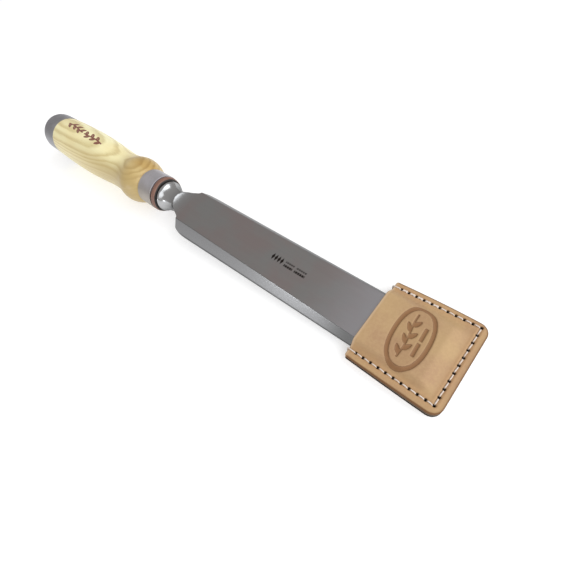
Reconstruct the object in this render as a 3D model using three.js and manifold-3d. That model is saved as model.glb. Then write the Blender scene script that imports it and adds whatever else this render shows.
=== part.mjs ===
// A bevel-edged tanged chisel with a turned ash handle and a stitched leather tip guard.
// Millimetres. +X runs from the striking face to the cutting edge, +Z is the bevelled side,
// and the origin is the centre of the striking face, on the handle's axis.
import * as THREE from "three";
import { mergeVertices } from "three/addons/utils/BufferGeometryUtils.js";
import Module from "manifold-3d";

// ---- Driving dimensions ----
const GAP = 0.3; // between pieces that touch

const BLADE_WIDTH = 38.1; // one and a half inches
const BLADE_BACK_Z = -5.5; // the lapped back lies this far below the handle's axis
const SHOULDER_X = 175;
const EDGE_X = 370.3;
const SHOULDER_THICKNESS = 10;
const EDGE_THICKNESS = 5.6; // the blade's thickness if it ran on to the edge with no bevel
const SIDE_LAND = 1.2; // upright strip left below each bevelled side
const FACET_RUN = 0.66; // how far a bevelled side leans in for each millimetre of height
const CUTTING_BEVEL_DEG = 25;
const EDGE_LAND = 0.15; // thickness left at the cutting edge

const CORNER_SETBACK = 1.9; // how far the blade's rounded corners start in from its edges

const BOLSTER_BACK_X = 150.4;
const BOLSTER_RADIUS = 11.1;
const NECK_RADIUS = 7.6;
const TANG_END_X = 88;
const TANG_SIDE_AT_BOLSTER = 9;
const TANG_SIDE_AT_END = 5;

const HANDLE_FRONT_X = 145.4;
const HOOP_BACK_X = 1.4;
const HOOP_FRONT_X = 17;
const HOOP_INNER_RADIUS = 13.5;
const FERRULE_BACK_X = 131;
const FERRULE_INNER_RADIUS = 11.8;
const FERRULE_RADIUS = 13.1;
const WASHER_BACK_X = 145.8;
const WASHER_FRONT_X = 150.1;

const MOUTH_X = 323.8;
const GUARD_END_X = 378.6;
// The guard is cut by hand, so its two sides differ. For each, in Y: the outer edge at the mouth, at
// its bow and at the closed end, the seam, and the foot of the slope the front panel comes down by.
const RIGHT = { edge: [-25.8, -26.8, -27.1], seamAtMouth: -21.3, seamAtEnd: -22.4, foot: -20.4 };
const LEFT = { edge: [28.5, 29.9, 29.5], seamAtMouth: 25, seamAtEnd: 26.9, foot: 23.6 };
const CREST_Y = 15.9; // the front panel lies on the blade this far out from the middle
const SLOPE_START_X = 362; // and comes down to the closed end from here
const SLOPE_END_X = 372.5;
const SLOPE_STEPS = 5;
const MOUTH_CORNER = 1.4;
const END_CORNER = 6.4;
const LEATHER = 2.2;
const WELT_AT_MOUTH = 0.5; // the spacer between the two panels is skived thin at the mouth
const WELT_AT_END = 2.4;
const STITCHES_ALONG = 11; // stitches down each side of the guard
const STITCHES_ACROSS = 10; // stitches across its closed end
const STITCH_END_X = 374;
const THREAD = 0.9;
const STRAND_RADIUS = 0.38; // of the thread where it passes down a hole
const HOLE_RADIUS = 0.8;
const GROOVE_WIDTH = 1.6;
const FRONT_GROOVE_DEPTH = 0.5;
const BACK_GROOVE_DEPTH = 1.3;

const ROUND_SEGMENTS = 36;
const NECK_SEGMENTS = 28;
const BORE_SEGMENTS = 8;

// ---- Levels of the guard's layers at its mouth; above the welt they rise towards the closed end ----
const BACK_PANEL_TOP_Z = BLADE_BACK_Z - GAP;
const BACK_PANEL_BOTTOM_Z = BACK_PANEL_TOP_Z - LEATHER;
const WELT_BOTTOM_Z = BACK_PANEL_TOP_Z + GAP;
const WELT_TOP_Z = WELT_BOTTOM_Z + WELT_AT_MOUTH;
const HEM_BOTTOM_Z = WELT_TOP_Z + GAP;
const HEM_TOP_Z = HEM_BOTTOM_Z + LEATHER;
const HEM_SLOPE = (WELT_AT_END - WELT_AT_MOUTH) / (GUARD_END_X - MOUTH_X);

const wasm = await Module();
wasm.setup();

// ---- From three.js geometry to solids and back ----
function solid(geometry) {
  const bare = geometry.clone();
  bare.deleteAttribute("normal");
  bare.deleteAttribute("uv");
  const merged = mergeVertices(bare, 1e-4);
  const kept = [];
  const index = merged.index.array;
  for (let i = 0; i < index.length; i += 3) {
    const [a, b, c] = [index[i], index[i + 1], index[i + 2]];
    if (a !== b && b !== c && c !== a) kept.push(a, b, c);
  }
  return new wasm.Manifold(
    new wasm.Mesh({
      numProp: 3,
      vertProperties: merged.attributes.position.array,
      triVerts: new Uint32Array(kept),
    }),
  );
}

function geometryOf(body) {
  const mesh = body.getMesh();
  const indexed = new THREE.BufferGeometry();
  indexed.setAttribute("position", new THREE.BufferAttribute(mesh.vertProperties, 3));
  indexed.setIndex(new THREE.BufferAttribute(mesh.triVerts, 1));
  const flat = indexed.toNonIndexed();
  flat.computeVertexNormals();
  return flat;
}

// ---- Shape helpers ----
// A solid turned about the X axis from [x, radius] points; the profile starts and ends on the axis,
// or closes on itself to make a ring.
function turned(profile) {
  const points = profile.map(([x, radius]) => new THREE.Vector2(radius, x));
  return new THREE.LatheGeometry(points, ROUND_SEGMENTS).rotateZ(-Math.PI / 2);
}

// A solid through convex cross-sections {x, points: [y, z]...} with the same number of points,
// which run anticlockwise as seen from +X.
function loft(sections) {
  const count = sections[0].points.length;
  const positions = [];
  const index = [];
  for (const { x, points } of sections) {
    for (const [y, z] of points) positions.push(x, y, z);
  }
  for (let s = 0; s + 1 < sections.length; s++) {
    for (let i = 0; i < count; i++) {
      const here = s * count + i;
      const next = s * count + ((i + 1) % count);
      index.push(here, next, next + count);
      index.push(here, next + count, here + count);
    }
  }
  const last = (sections.length - 1) * count;
  for (let i = 1; i + 1 < count; i++) {
    index.push(0, i + 1, i);
    index.push(last, last + i, last + i + 1);
  }
  const geometry = new THREE.BufferGeometry();
  geometry.setAttribute("position", new THREE.Float32BufferAttribute(positions, 3));
  geometry.setIndex(index);
  return geometry;
}

function squareSection(x, side) {
  const half = side / 2;
  return {
    x,
    points: [
      [-half, -half],
      [half, -half],
      [half, half],
      [-half, half],
    ],
  };
}

function ovalSection(x, halfWidth, bottomZ, topZ) {
  const centre = (topZ + bottomZ) / 2;
  const halfHeight = (topZ - bottomZ) / 2;
  const points = [];
  for (let i = 0; i < NECK_SEGMENTS; i++) {
    const angle = (2 * Math.PI * i) / NECK_SEGMENTS;
    points.push([halfWidth * Math.cos(angle), centre + halfHeight * Math.sin(angle)]);
  }
  return { x, points };
}

// A flat plate cut to a plan outline, between two heights.
function plate(shape, bottomZ, topZ) {
  const options = { depth: topZ - bottomZ, bevelEnabled: false, curveSegments: 6 };
  return new THREE.ExtrudeGeometry(shape, options).translate(0, 0, bottomZ);
}

// ---- Blade: one forging with its neck, bolster and tang ----
const THICKNESS_LOSS = (SHOULDER_THICKNESS - EDGE_THICKNESS) / (EDGE_X - SHOULDER_X);

function bladeThickness(x) {
  return SHOULDER_THICKNESS - THICKNESS_LOSS * (x - SHOULDER_X);
}

function bladeSection(x) {
  const half = BLADE_WIDTH / 2;
  const thickness = bladeThickness(x);
  const ridge = half - FACET_RUN * (thickness - SIDE_LAND);
  const landZ = BLADE_BACK_Z + SIDE_LAND;
  const topZ = BLADE_BACK_Z + thickness;
  return {
    x,
    points: [
      [-half, BLADE_BACK_Z],
      [half, BLADE_BACK_Z],
      [half, landZ],
      [ridge, topZ],
      [-ridge, topZ],
      [-half, landZ],
    ],
  };
}

// The blade seen from above: a rounded corner at each shoulder, then a concave sweep to the neck.
function bladePlan() {
  const half = BLADE_WIDTH / 2;
  const neckHalf = 5.6;
  const neckX = SHOULDER_X - 11;
  const shape = new THREE.Shape();
  shape.moveTo(EDGE_X + 1, -half - 1);
  shape.lineTo(EDGE_X + 1, half + 1);
  shape.lineTo(SHOULDER_X + 14, half + 1);
  shape.lineTo(SHOULDER_X + 12, half);
  shape.quadraticCurveTo(SHOULDER_X + 1, half, SHOULDER_X, half - CORNER_SETBACK);
  shape.lineTo(SHOULDER_X, half - 6.6);
  shape.bezierCurveTo(SHOULDER_X - 1, half - 10, neckX + 6, neckHalf + 1, neckX, neckHalf);
  shape.lineTo(neckX, -neckHalf);
  shape.bezierCurveTo(neckX + 6, -neckHalf - 1, SHOULDER_X - 1, 10 - half, SHOULDER_X, 6.6 - half);
  shape.lineTo(SHOULDER_X, CORNER_SETBACK - half);
  shape.quadraticCurveTo(SHOULDER_X + 1, -half, SHOULDER_X + 12, -half);
  shape.lineTo(SHOULDER_X + 14, -half - 1);
  return shape;
}

// What grinding takes off to leave the cutting bevel.
function bevelWaste() {
  const rise = 20;
  const run = rise / Math.tan(THREE.MathUtils.degToRad(CUTTING_BEVEL_DEG));
  const edgeZ = BLADE_BACK_Z + EDGE_LAND;
  const shape = new THREE.Shape();
  shape.moveTo(EDGE_X + 1, edgeZ - Math.tan(THREE.MathUtils.degToRad(CUTTING_BEVEL_DEG)));
  shape.lineTo(EDGE_X + 1, edgeZ + rise);
  shape.lineTo(EDGE_X - run, edgeZ + rise);
  shape.lineTo(EDGE_X, edgeZ);
  const wide = BLADE_WIDTH + 10;
  const options = { depth: wide, bevelEnabled: false };
  return new THREE.ExtrudeGeometry(shape, options).rotateX(Math.PI / 2).translate(0, wide / 2, 0);
}

// The round neck flattens and widens into the blade; its top stands a little proud of the blade.
function neckLoft() {
  const r = NECK_RADIUS;
  return loft([
    ovalSection(SHOULDER_X - 14, r + 0.4, -r, r),
    ovalSection(SHOULDER_X - 10, r + 0.9, -r + 0.2, r - 0.2),
    ovalSection(SHOULDER_X - 6, r + 2, -r + 0.7, r - 0.9),
    ovalSection(SHOULDER_X - 2.5, r + 3.9, -r + 1.3, r - 1.8),
    ovalSection(SHOULDER_X + 1.5, r + 5.4, BLADE_BACK_Z + 0.1, r - 2.8),
    ovalSection(SHOULDER_X + 7, r + 4.6, BLADE_BACK_Z + 0.5, r - 3.6),
  ]);
}

function bolster() {
  const back = BOLSTER_BACK_X;
  const r = BOLSTER_RADIUS;
  return turned([
    [back, 0],
    [back, r - 0.6],
    [back + 0.6, r],
    [back + 1.9, r - 0.1],
    [back + 2.8, r - 0.7],
    [back + 4, r - 1.6],
    [back + 5.6, r - 2.4],
    [back + 7.4, r - 2.95],
    [back + 9.6, NECK_RADIUS + 0.1],
    [back + 11.4, NECK_RADIUS - 0.1],
    [back + 11.4, 0],
  ]);
}

function tang(margin) {
  const frontX = BOLSTER_BACK_X + 0.5;
  return loft([
    squareSection(TANG_END_X - margin, TANG_SIDE_AT_END + 2 * margin),
    squareSection(frontX, TANG_SIDE_AT_BOLSTER + 2 * margin),
  ]);
}

function bladeForging() {
  const blank = loft([bladeSection(SHOULDER_X - 11), bladeSection(EDGE_X)]);
  const outline = plate(bladePlan(), BLADE_BACK_Z - 5, BLADE_BACK_Z + 20);
  const ground = solid(blank).intersect(solid(outline)).subtract(solid(bevelWaste()));
  return ground.add(solid(neckLoft())).add(solid(bolster())).add(solid(tang(0)));
}

// ---- Handle, hoop, ferrule and washer ----
function handle() {
  const tenonRadius = FERRULE_INNER_RADIUS - GAP;
  const hoopSeatRadius = HOOP_INNER_RADIUS - GAP;
  const body = turned([
    [0, 0],
    [0, 10.4],
    [0.35, 12],
    [HOOP_BACK_X, hoopSeatRadius],
    [HOOP_FRONT_X + GAP, hoopSeatRadius],
    [HOOP_FRONT_X + GAP, 16],
    [29, 16.65],
    [43, 17.05],
    [57, 17.15],
    [71, 16.7],
    [83, 15.8],
    [92, 15],
    [99, 14.7],
    [104, 14.85],
    [108, 15.3],
    [111.5, 16],
    [114.5, 16.8],
    [118, 17.25],
    [121.5, 16.95],
    [124.5, 16.1],
    [127.5, 14.8],
    [129.6, 13.6],
    [FERRULE_BACK_X - GAP, 12.6],
    [FERRULE_BACK_X - GAP, tenonRadius],
    [HANDLE_FRONT_X, tenonRadius],
    [HANDLE_FRONT_X, 0],
  ]);
  return solid(body).subtract(solid(tang(GAP)));
}

function strikingHoop() {
  return solid(
    turned([
      [HOOP_BACK_X, HOOP_INNER_RADIUS],
      [HOOP_BACK_X, 14.6],
      [HOOP_BACK_X + 0.5, 15.3],
      [HOOP_BACK_X + 1.4, 15.7],
      [HOOP_FRONT_X - 0.4, 16.05],
      [HOOP_FRONT_X, 15.8],
      [HOOP_FRONT_X, HOOP_INNER_RADIUS],
      [HOOP_BACK_X, HOOP_INNER_RADIUS],
    ]),
  );
}

function ferrule() {
  return solid(
    turned([
      [FERRULE_BACK_X, FERRULE_INNER_RADIUS],
      [FERRULE_BACK_X, FERRULE_RADIUS - 0.3],
      [FERRULE_BACK_X + 0.3, FERRULE_RADIUS - 0.1],
      [HANDLE_FRONT_X - 0.4, FERRULE_RADIUS + 0.1],
      [HANDLE_FRONT_X, FERRULE_RADIUS - 0.3],
      [HANDLE_FRONT_X, FERRULE_INNER_RADIUS],
      [FERRULE_BACK_X, FERRULE_INNER_RADIUS],
    ]),
  );
}

function leatherWasher() {
  const body = turned([
    [WASHER_BACK_X, 0],
    [WASHER_BACK_X, 12.7],
    [WASHER_BACK_X + 1, 13.2],
    [WASHER_BACK_X + 2.6, 13],
    [WASHER_FRONT_X - 0.6, 12.4],
    [WASHER_FRONT_X, 11.9],
    [WASHER_FRONT_X, 0],
  ]);
  return solid(body).subtract(solid(tang(GAP)));
}

// ---- Leather tip guard ----
// Leans a level piece of the guard up towards the closed end, as the welt makes it.
function leaned(geometry) {
  const shear = new THREE.Matrix4().makeShear(0, HEM_SLOPE, 0, 0, 0, 0);
  return geometry.translate(-MOUTH_X, 0, 0).applyMatrix4(shear).translate(MOUTH_X, 0, 0);
}

// The guard's outline from above; the mouth is the straight edge at MOUTH_X.
function guardOutline() {
  const shape = new THREE.Shape();
  const bowX = (MOUTH_X + GUARD_END_X) / 2;
  const tipX = GUARD_END_X - END_CORNER;
  const lipX = MOUTH_X + MOUTH_CORNER;
  const tight = 0.4 * END_CORNER;
  const [rightMouth, rightBow, rightEnd] = RIGHT.edge;
  const [leftMouth, leftBow, leftEnd] = LEFT.edge;
  shape.moveTo(MOUTH_X, rightMouth + MOUTH_CORNER);
  shape.quadraticCurveTo(MOUTH_X, rightMouth, lipX, rightMouth);
  shape.quadraticCurveTo(bowX, rightBow, tipX, rightEnd);
  shape.bezierCurveTo(
    ...[GUARD_END_X - tight, rightEnd],
    ...[GUARD_END_X, rightEnd + tight],
    ...[GUARD_END_X, rightEnd + END_CORNER],
  );
  shape.lineTo(GUARD_END_X, leftEnd - END_CORNER);
  shape.bezierCurveTo(
    ...[GUARD_END_X, leftEnd - tight],
    ...[GUARD_END_X - tight, leftEnd],
    ...[tipX, leftEnd],
  );
  shape.quadraticCurveTo(bowX, leftBow, lipX, leftMouth);
  shape.quadraticCurveTo(MOUTH_X, leftMouth, MOUTH_X, leftMouth - MOUTH_CORNER);
  return shape;
}

// The awl holes: along one side from the mouth, across the closed end and back.
function stitchPoints() {
  const alongSeam = (side, i) => {
    const share = i / STITCHES_ALONG;
    return [
      THREE.MathUtils.lerp(MOUTH_X, STITCH_END_X, share),
      THREE.MathUtils.lerp(side.seamAtMouth, side.seamAtEnd, share),
    ];
  };
  const points = [];
  for (let i = 1; i <= STITCHES_ALONG; i++) points.push(alongSeam(RIGHT, i));
  for (let i = 1; i < STITCHES_ACROSS; i++) {
    const y = THREE.MathUtils.lerp(RIGHT.seamAtEnd, LEFT.seamAtEnd, i / STITCHES_ACROSS);
    points.push([STITCH_END_X, y]);
  }
  for (let i = STITCHES_ALONG; i >= 1; i--) points.push(alongSeam(LEFT, i));
  return points;
}

// A band of the given width that follows the seam, from startX at the mouth.
function seamBand(width, startX) {
  const half = width / 2;
  const shape = new THREE.Shape();
  shape.moveTo(startX, RIGHT.seamAtMouth - half);
  shape.lineTo(STITCH_END_X + half, RIGHT.seamAtEnd - half);
  shape.lineTo(STITCH_END_X + half, LEFT.seamAtEnd + half);
  shape.lineTo(startX, LEFT.seamAtMouth + half);
  shape.lineTo(startX, LEFT.seamAtMouth - half);
  shape.lineTo(STITCH_END_X - half, LEFT.seamAtEnd - half);
  shape.lineTo(STITCH_END_X - half, RIGHT.seamAtEnd + half);
  shape.lineTo(startX, RIGHT.seamAtMouth + half);
  return shape;
}

function upright(x, y, radius, bottomZ, topZ) {
  const height = topZ - bottomZ;
  const post = new THREE.CylinderGeometry(radius, radius, height, BORE_SEGMENTS);
  return post.rotateX(Math.PI / 2).translate(x, y, bottomZ + height / 2);
}

// Awl holes through every layer.
function pierced(body) {
  let left = body;
  for (const [x, y] of stitchPoints()) {
    left = left.subtract(solid(upright(x, y, HOLE_RADIUS, BACK_PANEL_BOTTOM_Z - 1, HEM_TOP_Z + 8)));
  }
  return left;
}

function guardBack() {
  const panel = solid(plate(guardOutline(), BACK_PANEL_BOTTOM_Z, BACK_PANEL_TOP_Z));
  const floorZ = BACK_PANEL_BOTTOM_Z + BACK_GROOVE_DEPTH;
  const groove = plate(seamBand(GROOVE_WIDTH, MOUTH_X - 1), BACK_PANEL_BOTTOM_Z - 1, floorZ);
  return pierced(panel.subtract(solid(groove)));
}

// A U-shaped spacer round the blade's edges, which keeps the thread off the steel.
function guardWelt() {
  const clear = BLADE_WIDTH / 2 + GAP;
  const pocket = new THREE.Shape();
  pocket.moveTo(MOUTH_X - 1, -clear);
  pocket.lineTo(EDGE_X + GAP, -clear);
  pocket.lineTo(EDGE_X + GAP, clear);
  pocket.lineTo(MOUTH_X - 1, clear);
  const blank = solid(plate(guardOutline(), WELT_BOTTOM_Z, WELT_TOP_Z + WELT_AT_END));
  const skived = solid(leaned(plate(guardOutline(), WELT_BOTTOM_Z - 5, WELT_TOP_Z)));
  const opening = solid(plate(pocket, WELT_BOTTOM_Z - 1, WELT_TOP_Z + WELT_AT_END + 1));
  return pierced(blank.intersect(skived).subtract(opening));
}

// How far the front panel stands above its hem, where it is formed over the blade.
function frontRise(x, y) {
  const hemZ = HEM_BOTTOM_Z + HEM_SLOPE * (x - MOUTH_X);
  const full = BLADE_BACK_Z + bladeThickness(x) + GAP - hemZ;
  const foot = y < 0 ? -RIGHT.foot : LEFT.foot;
  const across = 1 - THREE.MathUtils.smoothstep(Math.abs(y), CREST_Y, foot);
  const along = 1 - THREE.MathUtils.smoothstep(x, SLOPE_START_X, SLOPE_END_X);
  return full * across * along;
}

// Evenly spaced values from one end of a slope to the other.
function slopeSteps(from, to) {
  const steps = [];
  for (let i = 0; i <= SLOPE_STEPS; i++) {
    steps.push(THREE.MathUtils.lerp(from, to, i / SLOPE_STEPS));
  }
  return steps;
}

// The front panel as a formed sheet over a grid, level at its hem, before it is cut to its outline.
function formedSheet() {
  const margin = 3;
  const middle = (MOUTH_X + SLOPE_START_X) / 2;
  const xs = [MOUTH_X - margin, middle, ...slopeSteps(SLOPE_START_X, SLOPE_END_X), GUARD_END_X + margin];
  const rightYs = [RIGHT.edge[2] - margin, ...slopeSteps(RIGHT.foot, -CREST_Y)];
  const leftYs = [...slopeSteps(CREST_Y, LEFT.foot), LEFT.edge[2] + margin];
  const ys = [...rightYs, 0, ...leftYs];
  const rows = xs.map((x) => ({ x, heights: ys.map((y) => frontRise(Math.max(x, MOUTH_X), y)) }));
  const positions = [];
  for (const base of [HEM_BOTTOM_Z, HEM_TOP_Z]) {
    for (const { x, heights } of rows) {
      heights.forEach((rise, j) => positions.push(x, ys[j], base + rise));
    }
  }
  const across = ys.length;
  const layer = xs.length * across;
  const index = [];
  const quad = (a, b, c, d) => index.push(a, b, c, a, c, d);
  for (let i = 0; i + 1 < xs.length; i++) {
    for (let j = 0; j + 1 < across; j++) {
      const a = i * across + j;
      quad(a, a + 1, a + across + 1, a + across);
      quad(layer + a, layer + a + across, layer + a + across + 1, layer + a + 1);
    }
  }
  for (let i = 0; i + 1 < xs.length; i++) {
    const low = i * across;
    const high = low + across - 1;
    quad(low, low + across, layer + low + across, layer + low);
    quad(high, layer + high, layer + high + across, high + across);
  }
  const tail = (xs.length - 1) * across;
  for (let j = 0; j + 1 < across; j++) {
    quad(j, layer + j, layer + j + 1, j + 1);
    quad(tail + j, tail + j + 1, layer + tail + j + 1, layer + tail + j);
  }
  const geometry = new THREE.BufferGeometry();
  geometry.setAttribute("position", new THREE.Float32BufferAttribute(positions, 3));
  geometry.setIndex(index);
  return geometry;
}

function guardFront() {
  const outline = plate(guardOutline(), HEM_BOTTOM_Z - 5, HEM_TOP_Z + 15);
  const panel = solid(leaned(formedSheet())).intersect(solid(outline));
  const floorZ = HEM_TOP_Z - FRONT_GROOVE_DEPTH;
  const groove = leaned(plate(seamBand(GROOVE_WIDTH, MOUTH_X - 1), floorZ, HEM_TOP_Z + 5));
  return pierced(panel.subtract(solid(groove)));
}

// One thread, saddle stitched: a run on each face, joined through every hole and round the mouth.
function stitchingThread() {
  const frontZ = HEM_TOP_Z - FRONT_GROOVE_DEPTH + GAP;
  const backZ = BACK_PANEL_BOTTOM_Z + BACK_GROOVE_DEPTH - GAP;
  const startX = MOUTH_X - GAP - THREAD;
  const middle = THREAD / 2;
  const strand = (x, y) => {
    const topZ = frontZ + middle + HEM_SLOPE * (x - MOUTH_X);
    return solid(upright(x, y, STRAND_RADIUS, backZ - middle, topZ));
  };
  let thread = solid(leaned(plate(seamBand(THREAD, startX), frontZ, frontZ + THREAD)));
  thread = thread.add(solid(plate(seamBand(THREAD, startX), backZ - THREAD, backZ)));
  for (const [x, y] of stitchPoints()) thread = thread.add(strand(x, y));
  for (const side of [RIGHT, LEFT]) {
    thread = thread.add(strand(startX + middle, side.seamAtMouth));
  }
  return thread;
}

// ---- Assembly ----
function material(color, roughness, metalness) {
  return new THREE.MeshStandardMaterial({ color, roughness, metalness });
}

const steel = material(0x8c8a88, 0.38, 1);
const hoopSteel = material(0x8a8f97, 0.42, 1);
const ferruleSteel = material(0xa9a9ae, 0.4, 1);
const ash = material(0xe6d59f, 0.5, 0);
const washerLeather = material(0x8a4a38, 0.7, 0);
const guardLeather = material(0xc69a6b, 0.65, 0);
const linen = material(0xf0e8dc, 0.8, 0);

const chisel = new THREE.Group();

function place(name, body, look) {
  const mesh = new THREE.Mesh(geometryOf(body), look);
  mesh.name = name;
  chisel.add(mesh);
}

place("blade", bladeForging(), steel);
place("handle", handle(), ash);
place("striking_hoop", strikingHoop(), hoopSteel);
place("ferrule", ferrule(), ferruleSteel);
place("leather_washer", leatherWasher(), washerLeather);
place("guard_front", guardFront(), guardLeather);
place("guard_back", guardBack(), guardLeather);
place("guard_welt", guardWelt(), guardLeather);
place("stitching_thread", stitchingThread(), linen);

export default chisel;
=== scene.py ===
"""A bevel-edged bench chisel with a stitched leather tip guard, built round its CAD frame."""

import math

import bpy
import numpy as np
from mathutils import Matrix, Vector
from mathutils.geometry import delaunay_2d_cdt


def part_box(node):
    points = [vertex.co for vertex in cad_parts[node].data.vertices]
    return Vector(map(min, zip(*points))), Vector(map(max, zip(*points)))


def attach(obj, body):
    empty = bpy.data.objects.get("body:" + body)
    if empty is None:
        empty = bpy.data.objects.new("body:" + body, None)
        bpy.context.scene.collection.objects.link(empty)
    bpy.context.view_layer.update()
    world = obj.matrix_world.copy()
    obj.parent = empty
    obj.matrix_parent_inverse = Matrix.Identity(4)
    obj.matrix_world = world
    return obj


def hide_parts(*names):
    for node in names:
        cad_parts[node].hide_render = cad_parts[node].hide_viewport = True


MM = 0.001

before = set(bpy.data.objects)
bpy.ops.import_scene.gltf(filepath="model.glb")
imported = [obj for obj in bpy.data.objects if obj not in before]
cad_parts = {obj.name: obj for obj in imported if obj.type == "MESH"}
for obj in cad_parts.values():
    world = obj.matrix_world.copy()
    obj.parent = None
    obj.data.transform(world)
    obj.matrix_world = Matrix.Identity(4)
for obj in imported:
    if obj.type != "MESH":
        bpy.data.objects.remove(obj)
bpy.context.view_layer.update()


def add_object(name, data):
    """A new object in the scene."""
    made = bpy.data.objects.new(name, data)
    bpy.context.scene.collection.objects.link(made)
    return made


# ---- camera
CAMERA_PLACE = Vector((0.36751, -0.07833, 0.19712))
CAMERA_RIGHT = Vector((0.7719, 0.6157, -0.1585))
CAMERA_BACK = Vector((0.4107, -0.2926, 0.8636))
LENS_MM = 23.83


def make_camera():
    """A wide lens close above the blade, a little to the near side."""
    data = bpy.data.cameras.new("camera")
    data.sensor_width = 36
    data.lens = LENS_MM
    data.clip_start = 0.01
    camera = add_object("camera", data)
    back = CAMERA_BACK.normalized()
    up = back.cross(CAMERA_RIGHT.normalized()).normalized()
    right = up.cross(back)
    turn = Matrix((right, up, back)).transposed().to_4x4()
    camera.matrix_world = Matrix.Translation(CAMERA_PLACE) @ turn
    bpy.context.scene.camera = camera


make_camera()

# ---- driving sizes, in millimetres
# The frame's own boxes give where things are; the rest are the proportions of each piece.
SCALE = 1 / MM


def cad(node):
    """Lowest and highest corner of a CAD node in millimetres."""
    low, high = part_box(node)
    return np.array(low) * SCALE, np.array(high) * SCALE


BLADE_LOW, BLADE_HIGH = cad("blade")
HOOP_LOW, HOOP_HIGH = cad("striking_hoop")
FERRULE_LOW = cad("ferrule")[0]
WASHER_HIGH = cad("leather_washer")[1]
FRONT_LOW, FRONT_HIGH = cad("guard_front")
BACK_LOW, BACK_HIGH = cad("guard_back")
WELT_LOW = cad("guard_welt")[0]

EDGE_X = BLADE_HIGH[0]
HALF_WIDTH = BLADE_HIGH[1]
BACK_Z = WELT_LOW[2]
TANG_END_X = BLADE_LOW[0]
TANG_TIP_SIDE = 3.6
TANG_SIDE_AT_END = 5.0
TANG_SIDE_AT_BOLSTER = 9.0
TANG_BORE_RADIUS = 8.0
SHOULDER_X = 175.0
SHOULDER_THICKNESS = 10.0
EDGE_THICKNESS = 5.6
BLADE_TAPER = (SHOULDER_THICKNESS - EDGE_THICKNESS) / (EDGE_X - SHOULDER_X)
TOP_AT_ORIGIN = BACK_Z + SHOULDER_THICKNESS + BLADE_TAPER * SHOULDER_X
SIDE_LAND = 1.2
FACET_RUN = 0.66
BEVEL_SLOPE = math.tan(math.radians(25))
EDGE_LAND = 0.15
CORNER_SETBACK = 1.9
CORNER_RUN = 12.0
RAMP_END_X = SHOULDER_X - 4.5
RAMP_RUN = 7.0
RAMP_RISE = 3.1
RAMP_POWER = 1.7
BOLSTER_BACK_X = 150.4
BOLSTER_RADIUS = 11.1
NECK_DROP = 2.15
NECK_SQUARENESS = 0.7


# ---- mesh helpers
def new_piece(name, vertices, faces, material, body, *nodes, slot):
    """A mesh object from millimetre vertices, riding on a body and standing for CAD nodes."""
    mesh = bpy.data.meshes.new(name)
    mesh.from_pydata((np.asarray(vertices, float) * MM).tolist(), [], [list(f) for f in faces])
    mesh.validate()
    mesh.update()
    mesh.shade_smooth()
    piece = add_object(name, mesh)
    mesh.materials.append(material)
    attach(piece, body)
    if nodes:
        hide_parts(*nodes)
    return piece


def add_attribute(piece, name, values):
    """A number for each vertex that the piece's material can read."""
    attribute = piece.data.attributes.new(name, "FLOAT", "POINT")
    attribute.data.foreach_set("value", np.asarray(values, np.float32).ravel())


def crisp(piece, degrees):
    """Flat faces stay flat beside their rounded edges."""
    piece.data.set_sharp_from_angle(angle=math.radians(degrees))
    modifier = piece.modifiers.new("weighted", "WEIGHTED_NORMAL")
    modifier.keep_sharp = True


def loop_faces(rings, around, bands=None):
    """Quads between successive rings of vertices, and from the last ring back to the first unless
    fewer bands are asked for."""
    faces = []
    for r in range(rings if bands is None else bands):
        n = (r + 1) % rings
        for i in range(around):
            j = (i + 1) % around
            faces.append((r * around + i, r * around + j, n * around + j, n * around + i))
    return faces


def ring_faces(rings, around):
    """Quads between successive rings of vertices, with one face over each end."""
    first_end = tuple(range(around - 1, -1, -1))
    last_end = tuple(range((rings - 1) * around, rings * around))
    return [*loop_faces(rings, around, rings - 1), first_end, last_end]


def turned(profile, around):
    """Vertices of [x, radius] points turned about the X axis."""
    angles = np.arange(around) * 2 * math.pi / around
    rings = [
        np.stack([np.full(around, x), r * np.cos(angles), r * np.sin(angles)], axis=1)
        for x, r in profile
    ]
    return np.concatenate(rings)


def smooth_through(points, step):
    """More points on a smooth curve through the given ones, about step apart."""
    points = np.asarray(points, float)
    padded = np.vstack([2 * points[0] - points[1], points, 2 * points[-1] - points[-2]])
    out = []
    for a, b, c, d in zip(padded, padded[1:], padded[2:], padded[3:]):
        count = max(1, int(round(np.linalg.norm(c - b) / step)))
        for t in np.arange(count) / count:
            bend = (2 * a - 5 * b + 4 * c - d) * t**2 + (3 * b - a - 3 * c + d) * t**3
            out.append(0.5 * (2 * b + (c - a) * t + bend))
    out.append(points[-1])
    return np.array(out)


def unit(vectors):
    """The directions of rows of vectors, each one long."""
    return vectors / np.linalg.norm(vectors, axis=1)[:, None]


def smoothstep(value, low, high):
    """0 below low, 1 above high and smooth between them."""
    t = np.clip((np.asarray(value, float) - low) / (high - low), 0, 1)
    return t * t * (3 - 2 * t)


def outer_profile(node, bore_radius):
    """The outside of a turned CAD node as [x, radius] points, from its vertices beyond its bore."""
    widest = {}
    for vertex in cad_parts[node].data.vertices:
        x, y, z = np.array(vertex.co) * SCALE
        key = round(x, 2)
        widest[key] = max(widest.get(key, 0), math.hypot(y, z))
    return sorted((x, r) for x, r in widest.items() if r > bore_radius)


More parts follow.
